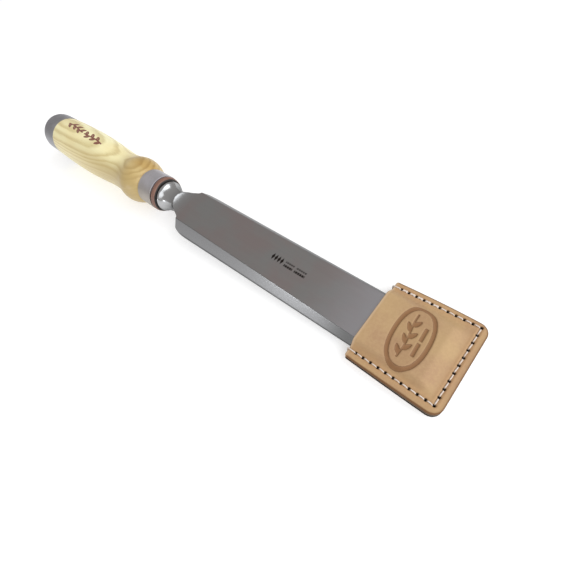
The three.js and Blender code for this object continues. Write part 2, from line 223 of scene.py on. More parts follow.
# ---- material graph
class Look:
    """A node material built from short calls; coordinates are the piece's own, in millimetres."""

    def __init__(self, name):
        self.material = bpy.data.materials.new(name)
        self.material.use_nodes = True
        self.nodes = self.material.node_tree.nodes
        self.links = self.material.node_tree.links
        self.shader = self.nodes["Principled BSDF"]
        place = self.nodes.new("ShaderNodeTexCoord")
        in_mm = self.nodes.new("ShaderNodeVectorMath")
        in_mm.operation = "SCALE"
        self.place = self.fill(in_mm, {0: place.outputs["Object"], "Scale": SCALE})
        split = self.nodes.new("ShaderNodeSeparateXYZ")
        self.links.new(self.place, split.inputs[0])
        self.x, self.y, self.z = split.outputs

    def put(self, socket, value):
        """Links another node's output, or sets a constant."""
        if isinstance(value, bpy.types.NodeSocket):
            self.links.new(value, socket)
        else:
            socket.default_value = value

    def fill(self, node, inputs, output=0):
        """Links or sets a node's inputs, and gives one of its outputs."""
        for socket, value in inputs.items():
            self.put(node.inputs[socket], value)
        return node.outputs[output]

    def math(self, operation, a, b=0.0):
        node = self.nodes.new("ShaderNodeMath")
        node.operation = operation
        return self.fill(node, {0: a, 1: b})

    def times(self, a, b):
        return self.math("MULTIPLY", a, b)

    def plus(self, a, b):
        return self.math("ADD", a, b)

    def minus(self, a, b):
        return self.math("SUBTRACT", a, b)

    def away(self, value, middle):
        """How far a value lies from the middle, on either side."""
        return self.math("ABSOLUTE", self.minus(value, middle))

    def noise(self, scale, detail, roughness, vector=None):
        node = self.nodes.new("ShaderNodeTexNoise")
        inputs = {"Scale": scale, "Detail": detail, "Roughness": roughness}
        return self.fill(node, {"Vector": vector or self.place, **inputs})

    def streaks(self, along, across, detail, roughness):
        """Noise with its own scale along the tool: a small one draws the pattern out along it."""
        node = self.nodes.new("ShaderNodeVectorMath")
        node.operation = "MULTIPLY"
        drawn = self.fill(node, {0: self.place, 1: (along, across, across)})
        return self.noise(1, detail, roughness, drawn)

    def range(self, value, low, high, to_low=0.0, to_high=1.0):
        """A number that goes smoothly from to_low to to_high as value goes from low to high."""
        node = self.nodes.new("ShaderNodeMapRange")
        node.interpolation_type = "SMOOTHSTEP"
        limits = {"From Min": low, "From Max": high, "To Min": to_low, "To Max": to_high}
        return self.fill(node, {"Value": value, **limits})

    def blend(self, share, first, second, mode="MIX"):
        """A colour that goes from first to second as share goes from 0 to 1."""
        node = self.nodes.new("ShaderNodeMix")
        node.data_type = "RGBA"
        node.blend_type = mode
        first, second = [(*c, 1) if isinstance(c, tuple) else c for c in (first, second)]
        return self.fill(node, {"Factor": share, 6: first, 7: second}, 2)

    def tint(self, share, colour, mode="MIX"):
        """Lays a colour over the material's own, by a share from 0 to 1."""
        self.colour = self.blend(share, self.colour, colour, mode)

    def between(self, share, first, second):
        """A number that goes from first to second as share goes from 0 to 1."""
        return self.fill(self.nodes.new("ShaderNodeMix"), {0: share, 2: first, 3: second})

    def attribute(self, name):
        node = self.nodes.new("ShaderNodeAttribute")
        node.attribute_name = name
        return node.outputs["Fac"]

    def cells(self, scale):
        node = self.nodes.new("ShaderNodeTexVoronoi")
        return self.fill(node, {"Vector": self.place, "Scale": scale}, "Distance")

    def bump(self, height, strength, distance_mm):
        inputs = {"Strength": strength, "Distance": distance_mm * MM, "Height": height}
        normal = self.fill(self.nodes.new("ShaderNodeBump"), inputs)
        self.links.new(normal, self.shader.inputs["Normal"])

    def finished(self, **values):
        """The material in its colour, with the shader's sockets by name, underscores for spaces."""
        for name, value in {"Base_Color": self.colour, **values}.items():
            if isinstance(value, tuple):
                value = (*value, 1)
            self.put(self.shader.inputs[name.replace("_", " ")], value)
        return self.material


# ---- materials
MARK_X = 252.0
DIAMONDS_END_X = 261.2
DASHES_X = 262.0
DASH_GROUPS = ((262.6, 269.2), (270.7, 278.6))


def etched_mark(look):
    """A plain etched ornament on the blade's face: a row of diamonds, then two rows of dashes."""

    def below(value, limit, soft=0.12):
        return look.range(value, limit - soft, limit + soft, 1, 0)

    def between_x(low, high):
        return below(look.away(look.x, (low + high) / 2), (high - low) / 2)

    def repeat(start, pitch):
        along = look.math("MODULO", look.minus(look.x, start), pitch)
        return look.away(along, pitch / 2)

    def row(middle, half_height, pitch, half_dash):
        dash = below(repeat(DASHES_X, pitch), half_dash)
        return look.times(dash, below(look.away(look.y, middle), half_height))

    slant = look.plus(repeat(MARK_X, 2.3), look.times(look.away(look.y, 0.3), 0.4))
    diamonds = look.times(below(slant, 1.0), between_x(MARK_X, DIAMONDS_END_X))
    rows = look.plus(look.times(row(1.3, 0.65, 1.5, 0.6), 0.8), row(-1.3, 0.8, 1.6, 0.68))
    groups = look.plus(*[between_x(*group) for group in DASH_GROUPS])
    bevelled_side = look.range(look.z, 0, 1)
    return look.times(look.plus(diamonds, look.times(rows, groups)), bevelled_side)


def forged_steel():
    """Ground along the blade, and polished on the neck and bolster. The bevelled sides have a finer
    grind than the top.
    Painted light: the blade is painted lighter toward the guard as a painted reflection. The bevelled
    sides are painted darker toward the guard, with a dark line along the ridge between them, as painted
    dark reflection. The attribute side is 1 on the blade's upright sides, which are painted dark as
    shade."""
    look = Look("forged_steel")
    polished = look.range(look.x, SHOULDER_X - 9, SHOULDER_X + 3, 1, 0)
    along = look.math("MAXIMUM", look.x, SHOULDER_X)
    level = look.minus(TOP_AT_ORIGIN, look.times(along, BLADE_TAPER))
    below = look.minus(level, look.z)
    grind = look.streaks(0.05, 3.2, 4, 0.65)
    streak = look.streaks(0.012, 0.5, 2, 0.5)
    mottle = look.noise(0.045, 3, 0.55)
    look.colour = look.blend(look.range(mottle, 0.3, 0.7), (0.345, 0.302, 0.300), (0.325, 0.328, 0.327))
    look.tint(look.range(streak, 0.35, 0.65, 0, 0.15), (0.38, 0.36, 0.35))
    # Painted reflection: the blade is painted lighter and bluer toward the guard.
    look.tint(look.range(look.x, 280, 325, 0, 0.7), (0.45, 0.45, 0.48))
    facet = look.range(below, 0.12, 0.3)
    # Painted dark reflection: the bevelled sides are painted darker toward the guard.
    facet_painted_dark = look.blend(look.range(look.x, 297, 322), (0.26, 0.26, 0.265), (0.14, 0.14, 0.14))
    look.tint(facet, facet_painted_dark)
    # Painted dark reflection: a thin dark line is painted along the ridge.
    ridge = look.times(look.range(below, 0.02, 0.05), look.range(below, 0.14, 0.24, 1, 0))
    look.tint(ridge, (0.09, 0.09, 0.09))
    bolster = look.range(look.x, BOLSTER_BACK_X + 5, BOLSTER_BACK_X + 13, 1, 0)
    bright = look.blend(bolster, (0.36, 0.365, 0.37), (0.45, 0.455, 0.46))
    look.tint(polished, bright)
    # Painted shade: the upright sides, where the attribute side is 1, are painted dark.
    look.tint(look.times(look.attribute("side"), 0.8), (0.10, 0.10, 0.10))
    mark = etched_mark(look)
    look.tint(mark, (0.03, 0.025, 0.022))
    rough = look.between(look.range(grind, 0.3, 0.7), 0.28, 0.36)
    rough = look.between(facet, rough, 0.18)
    rough = look.between(polished, rough, look.range(mottle, 0.3, 0.7, 0.22, 0.28))
    rough = look.between(mark, rough, 0.7)
    look.bump(grind, 0.25, 0.02)
    return look.finished(Metallic=1.0, Roughness=rough, Specular_Tint=(0.4, 0.4, 0.4))


def turned_steel(name, dark, light, roughness, painted_near_shade):
    """Steel with fine lines round it, as a lathe and emery leave them, with painted shade and painted
    reflection toward the near side.
    """
    look = Look(name)
    lines = look.streaks(5, 0.12, 3, 0.6)
    mottle = look.noise(0.12, 3, 0.6)
    specks = look.range(look.noise(1.1, 2, 0.6), 0.62, 0.74)
    look.colour = look.blend(look.range(mottle, 0.3, 0.7), dark, light)
    look.tint(look.times(specks, 0.3), tuple(0.6 * c for c in dark))
    # Painted shade and reflection: the given colour is laid toward the near side.
    look.tint(look.range(look.y, -13, -4, 0.75, 0), painted_near_shade)
    rough = look.range(lines, 0.3, 0.7, roughness - 0.06, roughness + 0.08)
    look.bump(lines, 0.3, 0.02)
    return look.finished(Metallic=1.0, Roughness=rough)


PITH_Y = -7.0
PITH_Z = -44.0
PITH_LEAN = -0.055
RING_WIDTH = 2.35


def ash_wood():
    """Flat-sawn ash: growth rings about a far pith, open pores in each ring's early wood, a golden
    swelling and painted shade darkening the near side; the attribute burn is the scorched mark."""
    look = Look("ash_wood")
    wander = look.streaks(0.012, 0.05, 2, 0.5)
    ripple = look.streaks(0.05, 0.25, 2, 0.5)
    dy = look.minus(look.y, PITH_Y)
    dz = look.minus(look.plus(look.z, look.times(look.x, PITH_LEAN)), PITH_Z)
    reach = look.math("SQRT", look.plus(look.times(dy, dy), look.times(dz, dz)))
    reach = look.plus(look.plus(reach, look.times(wander, 4.5)), ripple)
    uneven = look.times(look.math("SINE", look.times(reach, 0.8)), 0.45)
    ring = look.math("FRACT", look.math("DIVIDE", look.plus(reach, uneven), RING_WIDTH))
    early = look.times(look.range(ring, 0, 0.25), look.range(ring, 0.25, 0.75, 1, 0))
    pores = look.range(look.streaks(0.14, 3.4, 2, 0.6), 0.56, 0.7)
    fibre = look.streaks(0.03, 1.3, 3, 0.6)
    patches = look.streaks(0.02, 0.06, 2, 0.5)
    look.colour = look.blend(look.range(patches, 0.35, 0.65), (0.93, 0.87, 0.51), (0.89, 0.78, 0.42))
    look.tint(look.range(fibre, 0.3, 0.7, 0, 0.25), (0.93, 0.88, 0.58))
    swelling = look.range(look.x, 98, 124, 0, 0.9)
    golden = look.times(swelling, look.range(patches, 0.3, 0.6, 0.8, 1))
    look.tint(golden, (0.42, 0.255, 0.065))
    look.tint(look.times(early, 0.55), (0.60, 0.50, 0.32), "MULTIPLY")
    pored = look.times(pores, look.plus(look.times(early, 0.4), 0.1))
    look.tint(pored, (0.42, 0.29, 0.11))
    # Painted shade: the handle's near side is painted darker, most toward the bulb.
    painted_wood_shade = look.times(look.range(look.y, -13, 0, 1, 0), look.range(look.x, 30, 110, 0.2, 0.8))
    look.tint(painted_wood_shade, (0.45, 0.335, 0.14))
    burn = look.attribute("burn")
    scorch = look.range(burn, 0.05, 0.5, 0, 0.5)
    look.tint(scorch, (0.60, 0.36, 0.22))
    look.tint(look.range(burn, 0.4, 0.8), (0.20, 0.065, 0.04))
    rough = look.range(fibre, 0.3, 0.7, 0.36, 0.46)
    look.bump(look.minus(fibre, look.times(pored, 0.8)), 0.2, 0.05)
    return look.finished(Roughness=rough, Coat_Weight=0.12, Coat_Roughness=0.25)


def washer_leather():
    """Dense red-brown leather in layers, its front rim coloured near-black where it meets the bolster.
    """
    look = Look("washer_leather")
    layers = look.streaks(2.4, 0.12, 3, 0.6)
    grain = look.noise(1.6, 3, 0.6)
    look.colour = look.blend(look.range(layers, 0.3, 0.7), (0.12, 0.052, 0.036), (0.22, 0.11, 0.078))
    look.tint(look.range(grain, 0.35, 0.7, 0, 0.4), (0.31, 0.18, 0.135))
    front = WASHER_HIGH[0]
    # The front rim is coloured near-black next to the bolster.
    look.tint(look.range(look.x, front - 0.7, front - 0.4), (0.012, 0.009, 0.008))
    look.bump(look.plus(layers, grain), 0.4, 0.08)
    return look.finished(Roughness=look.range(grain, 0.3, 0.7, 0.42, 0.6))


def guard_leather(name, edge_and_shade_colour):
    """Undyed vegetable-tanned leather. Attributes: edge is the burnished cut edge, its colour also
    painted shade on the walls; lip a painted highlight along the rounded edge of the mouth; press the
    stamped ornament, darkest at its brink and weak all over its field; hole the awl holes, painted
    near-black as shade; and hem the strip by the seam."""
    look = Look(name)
    broad = look.noise(0.06, 3, 0.55)
    fine = look.noise(0.7, 4, 0.6)
    pores = look.cells(2.2)
    look.colour = look.blend(look.range(broad, 0.3, 0.7), (0.44, 0.287, 0.139), (0.39, 0.236, 0.125))
    look.tint(look.range(fine, 0.35, 0.7, 0, 0.3), (0.53, 0.365, 0.20))
    look.tint(look.range(pores, 0.0, 0.28, 0.16, 0), (0.29, 0.17, 0.09))
    look.tint(look.times(look.attribute("hem"), 0.35), (0.49, 0.275, 0.13))
    press = look.attribute("press")
    look.tint(look.times(press, 0.82), (0.21, 0.09, 0.03))
    brink = look.times(look.range(press, 0.3, 0.6), look.range(press, 0.6, 0.95, 1, 0))
    look.tint(look.times(brink, 0.65), (0.11, 0.045, 0.015))
    # Painted highlight: the rounded mouth edge is painted lighter.
    look.tint(look.times(look.attribute("lip"), 0.6), (0.60, 0.44, 0.29))
    # The edge colour is burnished edge and painted shade on the walls.
    edge = look.attribute("edge")
    look.tint(edge, edge_and_shade_colour)
    # Painted shade: the awl holes are painted near-black.
    look.tint(look.attribute("hole"), (0.022, 0.012, 0.008))
    rough = look.between(edge, look.range(fine, 0.3, 0.7, 0.62, 0.78), 0.75)
    shine = look.range(edge, 0, 1, 0.4, 0.05)
    look.bump(look.plus(look.times(look.range(pores, 0, 0.4), 0.5), fine), 0.3, 0.12)
    return look.finished(Roughness=rough, Specular_IOR_Level=shine)


def waxed_thread():
    """Pale waxed linen, a little soiled; the attribute sunk paints it dark as shade where it goes down a
    hole.
    """
    look = Look("waxed_thread")
    fibre = look.noise(3.2, 3, 0.6)
    soil = look.noise(0.5, 2, 0.5)
    look.colour = look.blend(look.range(fibre, 0.3, 0.7), (0.60, 0.51, 0.44), (0.80, 0.73, 0.67))
    look.tint(look.range(soil, 0.5, 0.75, 0, 0.4), (0.60, 0.44, 0.34))
    # Painted shade: the thread is painted near-black where it goes down a hole.
    look.tint(look.range(look.attribute("sunk"), 0.25, 1.1), (0.04, 0.022, 0.014))
    look.bump(fibre, 0.4, 0.06)
    return look.finished(Roughness=0.62, Sheen_Weight=0.2)


# ---- blade
def blade_top(x):
    """Height of the bevelled side's flat face, with the run-up the grinding wheel leaves at the neck."""
    level = TOP_AT_ORIGIN - BLADE_TAPER * max(x, SHOULDER_X)
    ramp = max(0.0, RAMP_END_X - x) / RAMP_RUN
    bevel = BACK_Z + EDGE_LAND + BEVEL_SLOPE * (EDGE_X - x)
    return min(level + RAMP_RISE * ramp**RAMP_POWER, bevel)


LARGEST_CUT = 0.42  # the largest share of a side that a corner's arc may take


def rounded(corners, radii, arc_points, edge_points):
    """A closed outline through the corners, each an arc, with evenly spaced points between them."""
    arcs = []
    for i, corner in enumerate(corners):
        to_before, to_after = corners[i - 1] - corner, corners[(i + 1) % len(corners)] - corner
        before, after = np.linalg.norm(to_before), np.linalg.norm(to_after)
        cut = min(radii[i], LARGEST_CUT * before, LARGEST_CUT * after)
        start = corner + to_before / before * cut
        end = corner + to_after / after * cut
        t = np.linspace(0, 1, arc_points)[:, None]
        arcs.append((1 - t) ** 2 * start + 2 * t * (1 - t) * corner + t * t * end)
    points = []
    for arc, following, count in zip(arcs, [*arcs[1:], arcs[0]], edge_points):
        t = np.arange(1, count + 1)[:, None] / (count + 1)
        points += [arc, (1 - t) * arc[-1] + t * following[0]]
    return np.concatenate(points)


ARC_POINTS = 5
LONG_EDGE_POINTS = 56
CORNER_RADII = (0.18, 0.18, 0.22, 0.2, 0.2, 0.22)
SIDE_POINTS = (LONG_EDGE_POINTS, 2, 8, LONG_EDGE_POINTS, 8, 2)


def blade_section(x, half_width):
    """The bevel-edged section where the blade is half_width wide: back, lands, facets and top."""
    top = blade_top(x)
    land = min(BACK_Z + SIDE_LAND, top - 0.04)
    shoulder_z = min(land + (HALF_WIDTH - half_width) / FACET_RUN, top - 0.03)
    ridge = min(HALF_WIDTH - FACET_RUN * (top - land), half_width - 0.03)
    right = np.array([(half_width, BACK_Z), (half_width, shoulder_z), (ridge, top)])
    left = right * (-1, 1)
    corners = np.array([left[0], *right, left[2], left[1]])
    return rounded(corners, CORNER_RADII, ARC_POINTS, SIDE_POINTS)


def forging():
    """Tang, bolster, neck and blade as rings of points along X, all with the same number of points."""
    first_blade = blade_section(SHOULDER_X, HALF_WIDTH - CORNER_SETBACK)
    directions = unit(first_blade)
    rings = []

    def add(x, outline):
        rings.append(np.column_stack([np.full(len(outline), x), outline]))

    def squared(side):
        return directions * (side / 2 / np.abs(directions).max(axis=1))[:, None]

    def forged(x, radius):
        """Round at the bolster and squarer along the neck, where its soft corners run to the blade."""
        power = 2 + NECK_SQUARENESS * smoothstep(x, BOLSTER_BACK_X + 2.5, BOLSTER_BACK_X + 9)
        return directions * radius / (np.abs(directions) ** power).sum(axis=1)[:, None] ** (1 / power)

    add(TANG_END_X, squared(TANG_TIP_SIDE))
    add(TANG_END_X + 0.7, squared(TANG_SIDE_AT_END))
    growth = (TANG_SIDE_AT_BOLSTER - TANG_SIDE_AT_END) / (BOLSTER_BACK_X - TANG_END_X)
    for x in np.linspace(TANG_END_X + 8, BOLSTER_BACK_X, 9):
        add(x, squared(TANG_SIDE_AT_END + growth * (x - TANG_END_X)))
    r = BOLSTER_RADIUS
    profile = [
        *[(0, r - 0.5), (0.15, r - 0.2), (0.5, r), (1.5, r), (2.3, r - 0.35), (3.2, r - 1.05)],
        *[(4.4, r - 1.95), (5.8, r - 2.7), (7.6, r - 3.25), (9.4, r - 3.6), (11, r - 3.7)],
    ]
    for along, radius in smooth_through(profile, 0.3):
        add(BOLSTER_BACK_X + along, forged(BOLSTER_BACK_X + along, radius))
    flare = [
        *[(161.6, 7.4), (163, 7.5), (164.5, 7.85), (166, 8.4), (168, 9.2), (170, 10.1), (172, 11.1)],
        *[(173.6, 11.8), (SHOULDER_X - 0.35, 12.7), (SHOULDER_X - 0.02, 13.4)],
    ]
    for x, radius in smooth_through(flare, 0.3):
        outline = forged(x, radius)
        bottom = BACK_Z - NECK_DROP * (1 - smoothstep(x, 160, 172))
        outline[:, 1] = np.clip(outline[:, 1], bottom, blade_top(x))
        add(x, outline)
    for t in np.linspace(0, 1, 14):
        x = SHOULDER_X + 2 * t * (1 - t) + t * t * CORNER_RUN
        half = HALF_WIDTH - (1 - t) ** 2 * CORNER_SETBACK
        add(x, blade_section(x, half))
    bevel_start = EDGE_X - (EDGE_THICKNESS - EDGE_LAND) / (BEVEL_SLOPE - BLADE_TAPER)
    before = np.linspace(SHOULDER_X + 20, bevel_start - 0.1, 18)
    for x in [*before, *np.linspace(bevel_start + 0.1, EDGE_X, 16)]:
        add(x, blade_section(x, HALF_WIDTH))
    return rings


def make_blade():
    """The blade, neck, bolster and tang as one forging."""
    rings = forging()
    vertices = np.concatenate(rings)
    faces = ring_faces(len(rings), len(rings[0]))
    piece = new_piece(
        "forged_blade", vertices, faces, forged_steel(), "chisel", "blade", slot="blade_steel"
    )
    out = np.abs(vertices[:, 1])
    add_attribute(piece, "side", smoothstep(out, HALF_WIDTH - 0.5, HALF_WIDTH - 0.05))
    crisp(piece, 28)


make_blade()


# ---- handle and its turned fittings
LEAF_PITCH = 5.2
LEAF_LENGTH = 4.2
LEAF_WIDTH = 1.15
LEAF_ANGLE = math.radians(36)
STEM_WIDTH = 0.36
STEM_SWAY = 0.5
STEM_WAVE = 2 * math.pi / 23


def sprig(along, across, length, veined=True):
    """How far inside a plain leaf sprig each point lies, in millimetres; it runs from along = 0."""
    inside = STEM_WIDTH - np.abs(across - STEM_SWAY * np.sin(along * STEM_WAVE))
    inside = np.where((along > 0) & (along < length), inside, -1.0)
    for k, start in enumerate(np.arange(1.5, length - 3, LEAF_PITCH / 2)):
        angle = LEAF_ANGLE if k % 2 else -LEAF_ANGLE
        du = along - start
        dv = across - STEM_SWAY * math.sin(start * STEM_WAVE)
        u = (du * math.cos(angle) + dv * math.sin(angle)) / LEAF_LENGTH
        v = -du * math.sin(angle) + dv * math.cos(angle)
        width = LEAF_WIDTH * np.sqrt(np.clip(4 * u * (1 - u), 0, None)) * (1.1 - 0.5 * u)
        leaf = np.where((u > 0) & (u < 1), width - np.abs(v), -1.0)
        vein = np.where((u > 0.2) & (u < 0.8), 0.13 - np.abs(v), -1.0)
        inside = np.maximum(inside, np.minimum(leaf, -vein) if veined else leaf)
    return inside


BRAND_START_X = 27.0
BRAND_LENGTH = 50.0
BRAND_DEPTH = 0.15
BRAND_Y = 3.6
BRAND_SLANT = 0.045
BRAND_SCALE = 1.35
BRAND_MARGIN = 1.0
BRAND_GAP = 1.6


def around_angles():
    """Angles round the handle, closer together where the burnt sprig runs."""
    fine = np.radians(np.arange(56, 112, 0.85))
    coarse = np.radians(np.arange(112, 416, 2.3))
    return np.concatenate([fine, coarse])


def make_handle():
    """The turned ash handle with two sprigs burnt along its top, tip to tip."""
    profile = outer_profile("handle", TANG_BORE_RADIUS)
    bulb = [p for p in profile if HOOP_HIGH[0] + 0.2 < p[0] < FERRULE_LOW[0] - 0.2]
    shaped = smooth_through(bulb, 1.0)
    shaped[:, 1] = np.minimum(shaped[:, 1], max(bulb, key=lambda point: point[1])[1])
    fine_start = BRAND_START_X - BRAND_MARGIN
    fine_end = BRAND_START_X + BRAND_LENGTH + BRAND_MARGIN
    fine_x = np.arange(fine_start, fine_end, 0.3)
    fine = np.column_stack([fine_x, np.interp(fine_x, shaped[:, 0], shaped[:, 1])])
    before = shaped[shaped[:, 0] <= fine_start]
    after = shaped[shaped[:, 0] >= fine_end]
    butt_radius = profile[0][1]
    crown = [(0.25 * s**2, s * butt_radius) for s in (0.05, 0.25, 0.45, 0.65, 0.8, 0.9)]
    head = [(0.25, butt_radius), (0.45, 11.2), (0.8, 12.1), (HOOP_LOW[0], 13.1)]
    tail = [p for p in profile if p[0] >= FERRULE_LOW[0] - 0.35]
    rings = [*crown, *head, *[p for p in profile if HOOP_LOW[0] < p[0] <= HOOP_HIGH[0] + 0.31]]
    rings = [*rings, *before, *fine, *after, *tail]
    angles = around_angles()
    x = np.array([ring[0] for ring in rings])[:, None] + 0 * angles
    radius = np.array([ring[1] for ring in rings])[:, None] + 0 * angles
    across = radius * np.cos(angles)
    along = (x - BRAND_START_X) / BRAND_SCALE
    aside = (across - BRAND_Y + (x - BRAND_START_X) * BRAND_SLANT) / BRAND_SCALE
    half = 0.5 * BRAND_LENGTH / BRAND_SCALE - 0.5 * BRAND_GAP
    second = sprig(2 * half + BRAND_GAP - along, aside, half)
    inside = BRAND_SCALE * np.maximum(sprig(along, aside, half), second)
    inside = np.where(np.sin(angles) > 0, inside, -1.0)
    burn = smoothstep(inside, -0.45, 0.2)
    radius = radius - BRAND_DEPTH * smoothstep(inside, -0.1, 0.25)
    vertices = np.stack([x, radius * np.cos(angles), radius * np.sin(angles)], axis=2).reshape(-1, 3)
    faces = ring_faces(len(rings), len(angles))
    piece = new_piece(
        "turned_handle", vertices, faces, ash_wood(), "chisel", "handle", slot="ash_wood"
    )
    add_attribute(piece, "burn", burn)
    crisp(piece, 35)


def between_ends(node, back, front, step):
    """A smooth profile through [distance in from the node's back or front end, radius] points."""
    low, high = (corner[0] for corner in cad(node))
    points = [*[(low + d, r) for d, r in back], *[(high - d, r) for d, r in front]]
    return smooth_through(points, step)


def ring_piece(name, node, profile, bore_radius, around, material, slot):
    """A turned ring: its outer profile, closed by a plain bore."""
    bore = [(profile[-1][0], bore_radius), (profile[0][0], bore_radius)]
    closed = [*profile, *bore]
    vertices = turned(closed, around)
    piece = new_piece(
        name, vertices, loop_faces(len(closed), around), material, "chisel", node, slot=slot
    )
    crisp(piece, 40)


def make_hoop():
    """The striking hoop, its rim rolled a little over the wood by the hammer."""
    rim = [(0, 13.9), (0.02, 14.5), (0.2, 15.0), (0.6, 15.42), (1.4, 15.7)]
    side = [(2.5, 15.76), (6, 15.83), (10, 15.9)]
    front = [(1.1, 16.02), (0.6, 16.04), (0.25, 15.95), (0.05, 15.75), (0, 15.4)]
    profile = between_ends("striking_hoop", [*rim, *side], front, 0.25)
    # The last colour is painted shade toward the hoop's near side.
    steel = turned_steel("hoop_steel", (0.33, 0.33, 0.35), (0.42, 0.42, 0.45), 0.45, (0.36, 0.36, 0.38))
    ring_piece("rolled_striking_hoop", "striking_hoop", profile, 13.5, 128, steel, "hoop_steel")


def make_ferrule():
    """The plain ferrule, its corners rounded by polishing."""
    back = [(0, 12.3), (0.05, 12.75), (0.35, 13.0), (1, 13.05), (3, 13.05), (8, 13.12)]
    front = [(1.2, 13.2), (0.3, 13.2), (0.05, 13.05), (0, 12.5)]
    profile = between_ends("ferrule", back, front, 0.25)
    # Painted shade with a warm painted reflection on the ferrule's near side.
    painted_near_shade = (0.34, 0.30, 0.24)
    steel = turned_steel("ferrule_steel", (0.54, 0.53, 0.56), (0.62, 0.61, 0.65), 0.5, painted_near_shade)
    ring_piece("polished_ferrule", "ferrule", profile, 11.8, 128, steel, "ferrule_steel")


def make_washer():
    """The leather shock washer, squeezed out a little unevenly between ferrule and bolster."""
    back = [(0, 11.6), (0.05, 12.4), (0.4, 12.95), (1.1, 13.2), (2.6, 13.1)]
    front = [(0.9, 12.75), (0.3, 12.3), (0, 11.7)]
    profile = between_ends("leather_washer", back, front, 0.2)
    around = 160
    bore = [(profile[-1][0], 6.8), (profile[0][0], 6.8)]
    vertices = turned([*profile, *bore], around)
    angles = np.arctan2(vertices[:, 2], vertices[:, 1])
    outer = np.hypot(vertices[:, 1], vertices[:, 2]) > 11
    squeeze = 1 - 0.012 * (1 + np.sin(3 * angles + 0.8)) - 0.006 * (1 + np.sin(7 * angles))
    vertices[:, 1:] *= np.where(outer, squeeze, 1)[:, None]
    faces = loop_faces(len(profile) + 2, around)
    piece = new_piece(
        "shock_washer", vertices, faces, washer_leather(), "chisel", "leather_washer",
        slot="washer_leather",
    )
    crisp(piece, 50)


make_handle()
make_hoop()
make_ferrule()
make_washer()


# ---- leather tip guard
MOUTH_X = FRONT_LOW[0]
GUARD_END_X = FRONT_HIGH[0]
# For each side of the guard, in Y: its edge at the mouth, the bow and the closed end; its seam at
# the mouth and the closed end; and how far from the middle the front panel's slope ends. It is cut
# by hand, so the two sides differ.
RIGHT = {"edge": (-25.8, -26.8, -27.1), "seam": (-21.3, -22.4), "foot": 20.4}
LEFT = {"edge": (28.5, 29.9, 29.5), "seam": (25.0, 26.9), "foot": 23.6}
CREST_Y = 15.9
SLOPE_START_X = 362.0
SLOPE_END_X = 372.5
MOUTH_CORNER = 1.4
END_CORNER = 6.4
LEATHER = 2.2
GAP = 0.3
WELT_AT_MOUTH = 0.5
WELT_AT_END = 2.4
HEM_TOP_Z = BACK_Z + WELT_AT_MOUTH + GAP + LEATHER
HEM_SLOPE = (WELT_AT_END - WELT_AT_MOUTH) / (GUARD_END_X - MOUTH_X)
STITCH_END_X = 374.0
STITCHES_ALONG = 11
STITCHES_ACROSS = 10
FRONT_HOLE_DEPTH = 1.7
BACK_HOLE_DEPTH = 1.0
FRONT_GROOVE = 0.5
BACK_GROOVE = 1.3
GROOVE_HALF_WIDTH = 0.75
SEAM_SWELL = 0.16
PRESS_DEPTH = 0.55
FRONT_EDGE_RADIUS = 0.6
BACK_EDGE_RADIUS = 0.5
INNER_EDGE_RADIUS = 0.22
WELT_EDGE_RADIUS = 0.18


def bezier(points, count):
    """Points on the curve that three or four points pull along, without its last one."""
    t = (np.arange(count) / count)[:, None]
    last = len(points) - 1
    pulls = [math.comb(last, k) * t**k * (1 - t) ** (last - k) for k in range(last + 1)]
    return sum(pull * np.array(point) for pull, point in zip(pulls, points))


def guard_outline():
    """The guard seen from above, anticlockwise, about 0.4 mm between points."""
    mouth, end = MOUTH_X, GUARD_END_X
    lip, bow, tip = mouth + MOUTH_CORNER, (mouth + end) / 2, end - END_CORNER
    tight = 0.4 * END_CORNER
    low_mouth, low_bow, low = RIGHT["edge"]
    top_mouth, top_bow, top = LEFT["edge"]
    low_lip, top_lip = low_mouth + MOUTH_CORNER, top_mouth - MOUTH_CORNER
    low_tip, top_tip = low + END_CORNER, top - END_CORNER
    return np.concatenate(
        [
            bezier([(mouth, low_lip), (mouth, low_mouth), (lip, low_mouth)], 9),
            bezier([(lip, low_mouth), (bow, low_bow), (tip, low)], 110),
            bezier([(tip, low), (end - tight, low), (end, low + tight), (end, low_tip)], 22),
            bezier([(end, low_tip), (end, (low + top) / 2), (end, top_tip)], 100),
            bezier([(end, top_tip), (end, top - tight), (end - tight, top), (tip, top)], 22),
            bezier([(tip, top), (bow, top_bow), (lip, top_mouth)], 110),
            bezier([(lip, top_mouth), (mouth, top_mouth), (mouth, top_lip)], 9),
            bezier([(mouth, top_lip), (mouth, 0), (mouth, low_lip)], 120),
        ]
    )


def inset(outline, distance):
    """The outline moved inwards."""
    ahead = unit(np.roll(outline, -1, axis=0) - np.roll(outline, 1, axis=0))
    return outline + distance * np.column_stack([-ahead[:, 1], ahead[:, 0]])


def distance_to(path, points, closed=True):
    """Shortest distance from each point to a path of straight pieces."""
    corners = [*path, path[0]] if closed else path
    best = np.full(len(points), 1e9)
    for a, b in zip(corners, corners[1:]):
        run = b - a
        t = np.clip(((points - a) @ run) / (run @ run), 0, 1)
        gap = points - a - t[:, None] * run
        best = np.minimum(best, np.einsum("ij,ij->i", gap, gap))
    return np.sqrt(best)


def seam_point(side, share):
    """A point on one side's seam, from 0 at the mouth to 1 at the closed end."""
    start, end = side["seam"]
    return (MOUTH_X + (STITCH_END_X - MOUTH_X) * share, start + (end - start) * share)


def stitch_points():
    """The awl holes: along the right side from the mouth, across the closed end and back."""
    right = [seam_point(RIGHT, i / STITCHES_ALONG) for i in range(1, STITCHES_ALONG + 1)]
    left = [seam_point(LEFT, i / STITCHES_ALONG) for i in range(STITCHES_ALONG, 0, -1)]
    low, high = right[-1][1], left[0][1]
    shares = np.arange(1, STITCHES_ACROSS) / STITCHES_ACROSS
    across = [(STITCH_END_X, low + (high - low) * share) for share in shares]
    return np.array([*right, *across, *left])


